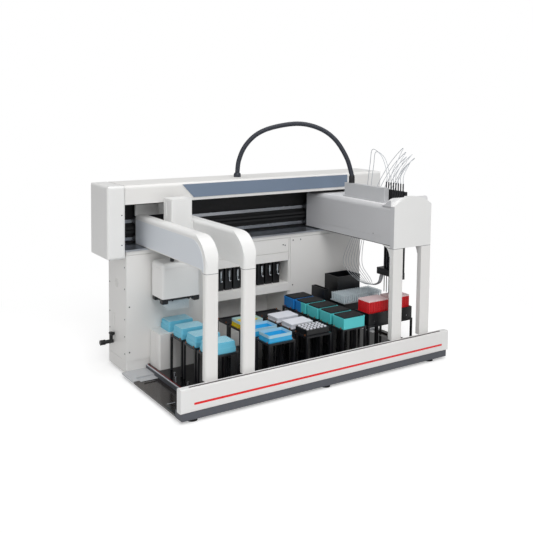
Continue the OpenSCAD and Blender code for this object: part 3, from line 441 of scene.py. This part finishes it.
def slab(low, high, cut):
    """Box with every edge cut at 45 degrees: each corner gives three points, moved in along two axes."""
    low, high = np.array(low, float), np.array(high, float)
    corners = np.stack(np.meshgrid([0, 1], [0, 1], [0, 1], indexing="ij"), -1).reshape(-1, 1, 3)
    inward = (1 - 2 * corners) * cut * (1 - np.eye(3))
    return (low + (high - low) * corners + inward).reshape(-1, 3) * mm


def hull_piece(name, groups, material, body):
    """Joins the convex hull of each group of points into one mesh piece that rides on a body."""
    joined = bmesh.new()
    for group in groups:
        carried = bpy.data.meshes.new("part")
        carried.from_pydata(group.tolist(), [], [])
        part = bmesh.new()
        part.from_mesh(carried)
        bmesh.ops.convex_hull(part, input=part.verts)
        bmesh.ops.dissolve_limit(part, angle_limit=0.02, verts=part.verts, edges=part.edges)
        part.to_mesh(carried)
        part.free()
        joined.from_mesh(carried)
        bpy.data.meshes.remove(carried)
    bmesh.ops.recalc_face_normals(joined, faces=joined.faces)
    mesh = bpy.data.meshes.new(name)
    joined.to_mesh(mesh)
    joined.free()
    mesh.materials.append(material)
    piece = bpy.data.objects.new(name, mesh)
    bpy.context.collection.objects.link(piece)
    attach(piece, body)


def disc(centre, axis, radius, depth):
    """Round head: a ring of radius (cos a, sin a) and one of 0.85 of it at depth along the axis."""
    angle = np.linspace(0, 2 * math.pi, 20, endpoint=False)
    flat = np.stack([np.cos(angle), np.sin(angle), np.zeros(20)], -1)
    low, high = flat * radius, flat * (radius * 0.85)
    high[:, 2] = depth
    turned = {"x": (2, 0, 1), "y": (0, 2, 1), "z": (0, 1, 2)}[axis]
    return (np.concatenate([low, high])[:, turned] + np.array(centre)) * mm


# The fairing's foot, lowest top, half its rise, front end and run to the back, in millimetres.
fairing_foot = 770
fairing_low = 775.3
fairing_rise = 18.5
fairing_y = -355.5
fairing_run = 62


def fairing_section(x0, x1, top, corner, left):
    """Closed section of half the fairing: a quarter circle at its outer top edge, square elsewhere."""
    angle = np.linspace(0, math.pi / 2, 9)
    side, rise = corner * (1 - np.cos(angle)), corner * (np.sin(angle) - 1)
    if left:
        arc = np.stack([x0 + side, top + rise], -1)
        return np.vstack([[(x0, fairing_foot)], arc, [(x1, top), (x1, fairing_foot)]])
    arc = np.stack([x1 - side[::-1], top + rise[::-1]], -1)
    return np.vstack([[(x0, fairing_foot), (x0, top)], arc, [(x1, fairing_foot)]])


def make_fairing():
    """Two halves that sweep up to the hood: z = low + rise (1 + cos(pi t)) at y = front + run t."""
    points, faces, offset = [], [], 0
    for x0, x1, left in ((381.2, 468, True), (500, 618.8, False)):
        rings = []
        for t in np.linspace(0, 1, 17):
            top = fairing_low + fairing_rise * (1 + math.cos(math.pi * t))
            section = fairing_section(x0, x1, top, 3 + 14 * (1 - t), left)
            y = np.full(len(section), fairing_y + fairing_run * t)
            rings.append(np.column_stack([section[:, 0], y, section[:, 1]]))
        faces += skin_faces(len(rings), len(rings[0]), offset)
        points += rings
        offset += len(rings) * len(rings[0])
    fairing = mesh_piece("hood_fairing", np.concatenate(points) * mm, faces, fairing_paint, smooth=False)
    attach(fairing, "right_bridge")


fairing_paint = coated("sprayed_fairing_white_and_grey", "#E6E6E7", 0.36, grain=2 * mm, height=0.03 * mm)
paint_over(fairing_paint, "#C9C9CB", lambda tree, x, y, z: between(tree, x, 380 * mm, 381.7 * mm))
make_fairing()

# Screws in the beam's end cap, knobs beside the deck, rods in the side tray and studs on the tube box.
screw_places = [(-733, 175.2, 745), (-733, 175.2, 610)]
knob_places = [(-556, 4, 40), (-578, -51, 40), (-556, -124, 40)]
rod_corners = [((-684, 44, 19.2), (-626, 49, 24)), ((-712, -236, 19.2), (-672, -231, 24))]
stud_places = [(349, -295.4, 218), (556, -295.4, 218)]
hull_piece("cap_screws", [disc(place, "y", 3.2, -0.8) for place in screw_places], screw_metal, "chassis")
hull_piece("deck_knobs", [disc(place, "z", 5.5, 11) for place in knob_places], plunger_metal, "chassis")
hull_piece("tray_rods", [slab(low, high, 1.2) for low, high in rod_corners], plunger_metal, "chassis")
hull_piece("box_studs", [disc(place, "y", 3.2, -1.2) for place in stud_places], plunger_metal, "chassis")
# A dot on the wide arm's side, the clamp blocks under the head and the bracket beyond the last sleeve.
dot_place = (381.2, -237, 630)
clamp_corners = [((x, 63, 345), (x + 30, 92, 369.4)) for x in (-588, -430)]
clamp_corners += [((x, 146, 347), (x + 26, 174, 369.4)) for x in (-586, -428)]
bracket_corners = ((477, -350, 816), (491, -336, 835))
hull_piece("arm_dot", [disc(dot_place, "x", 2.4, -0.8)], black_moulded, "right_bridge")
hull_piece("head_clamps", [slab(low, high, 3) for low, high in clamp_corners], black_moulded, "left_head")
hull_piece("sleeve_bracket", [slab(*bracket_corners, 2)], black_moulded, "span_pod")

# ---------- studio ----------

floor_half = 14.0
floor_grey = 0.82
# Light that the floor adds of its own where it is seen, and the world's light on everything else.
floor_lift = 0.38
fill_light = 0.4
# The shadow fades out between these distances from the machine's middle.
shadow_reach = (1.0, 1.9)
white = (1, 1, 1, 1)


def seen_rays(tree):
    """1 for rays from the camera, straight or through clear things, else 0."""
    path = add(tree, "ShaderNodeLightPath").outputs
    inputs = {0: path["Is Camera Ray"], 1: path["Is Transmission Ray"]}
    return add(tree, "ShaderNodeMath", inputs, operation="MAXIMUM").outputs[0]


def make_floor():
    """One large level sheet at z = 0 that keeps the machine's shadow and is plain white further out."""
    material = bpy.data.materials.new("white_paper_floor")
    material.use_nodes = True
    tree = material.node_tree
    tree.nodes.clear()
    matt = add(tree, "ShaderNodeBsdfDiffuse", {"Color": (floor_grey, floor_grey, floor_grey, 1)})
    lift = add(tree, "ShaderNodeEmission", {"Color": white, "Strength": floor_lift})
    lifted = add(tree, "ShaderNodeAddShader", {0: matt.outputs[0], 1: lift.outputs[0]})
    place = add(tree, "ShaderNodeTexCoord").outputs["Object"]
    reach = add(tree, "ShaderNodeVectorMath", {0: place}, operation="LENGTH").outputs["Value"]
    fade = {"Value": reach, "From Min": shadow_reach[0], "From Max": shadow_reach[1]}
    far = add(tree, "ShaderNodeMapRange", fade).outputs[0]
    plain = add(tree, "ShaderNodeEmission", {"Color": white, "Strength": 1.0})
    faded = add(tree, "ShaderNodeMixShader", {0: far, 1: lifted.outputs[0], 2: plain.outputs[0]})
    chosen = add(tree, "ShaderNodeMixShader", {0: seen_rays(tree), 1: matt.outputs[0], 2: faded.outputs[0]})
    add(tree, "ShaderNodeOutputMaterial", {"Surface": chosen.outputs[0]})
    corners = [(i * floor_half, j * floor_half, 0) for i, j in ((-1, -1), (1, -1), (1, 1), (-1, 1))]
    floor = mesh_piece("floor", corners, [[0, 1, 2, 3]], material, smooth=False)


def make_world():
    """Soft surround: white where it is seen, and gentle fill light for everything else, reflections too."""
    world = bpy.data.worlds.new("studio")
    bpy.context.scene.world = world
    world.use_nodes = True
    tree = world.node_tree
    tree.nodes.clear()
    fill = add(tree, "ShaderNodeBackground", {"Color": white, "Strength": fill_light})
    plain = add(tree, "ShaderNodeBackground", {"Color": white, "Strength": 1.0})
    chosen = add(tree, "ShaderNodeMixShader", {0: seen_rays(tree), 1: fill.outputs[0], 2: plain.outputs[0]})
    add(tree, "ShaderNodeOutputWorld", {"Surface": chosen.outputs[0]})


def softbox(name, at, target, size, power):
    """Square area lamp of a size in metres and a power in watts, aimed from one point at another."""
    data = bpy.data.lights.new(name, "AREA")
    data.shape = "SQUARE"
    data.size = size
    data.energy = power
    lamp = bpy.data.objects.new(name, data)
    aim = (Vector(target) - Vector(at)).to_track_quat("-Z", "Y").to_matrix().to_4x4()
    lamp.matrix_world = Matrix.Translation(Vector(at)) @ aim
    bpy.context.collection.objects.link(lamp)


make_floor()
make_world()
softbox("key", (-1.2, -3.6, 3.4), (0, 0, 0.4), 2.4, 92)
softbox("top", (0.3, -0.4, 4.2), (0, 0, 0.4), 3.0, 64)
softbox("side", (-4.2, -0.8, 1.8), (0, 0, 0.5), 2.0, 14)
bpy.context.scene.view_settings.view_transform = "Standard"
